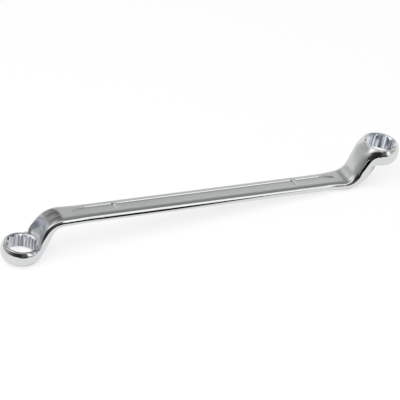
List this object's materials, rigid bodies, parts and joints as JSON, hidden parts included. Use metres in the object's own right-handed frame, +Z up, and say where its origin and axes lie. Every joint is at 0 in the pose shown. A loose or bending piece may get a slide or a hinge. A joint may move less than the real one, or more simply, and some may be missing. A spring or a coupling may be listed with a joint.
{
  "type": "offset ring spanner",
  "caption": "Double-ended offset ring spanner: cranked necks carry a twelve-point ring at each end of a flat panelled shank, one ring raised and one dropped.",
  "frame": {"origin": "middle of the bottom face of the bounding box: on the bench the spanner lies on, under its middle", "axes": "+X along the tool from the small ring to the large ring, +Z up, and the rings' bores in the XZ plane, leaning 6.08 degrees from +Z towards +X as the tool rests on its small ring and its large neck's knee"},
  "size_m": [0.2682, 0.026, 0.028],
  "materials": {
    "polished_chrome": "bright chrome plate over polished steel",
    "satin_chrome": "satin chrome plate with brushed zones at the bends"
  },
  "bodies": {
    "root": {"small_ring_head": "polished_chrome", "small_neck": "satin_chrome", "shank": "satin_chrome", "large_neck": "satin_chrome", "large_ring_head": "polished_chrome"}
  },
  "joints": []
}
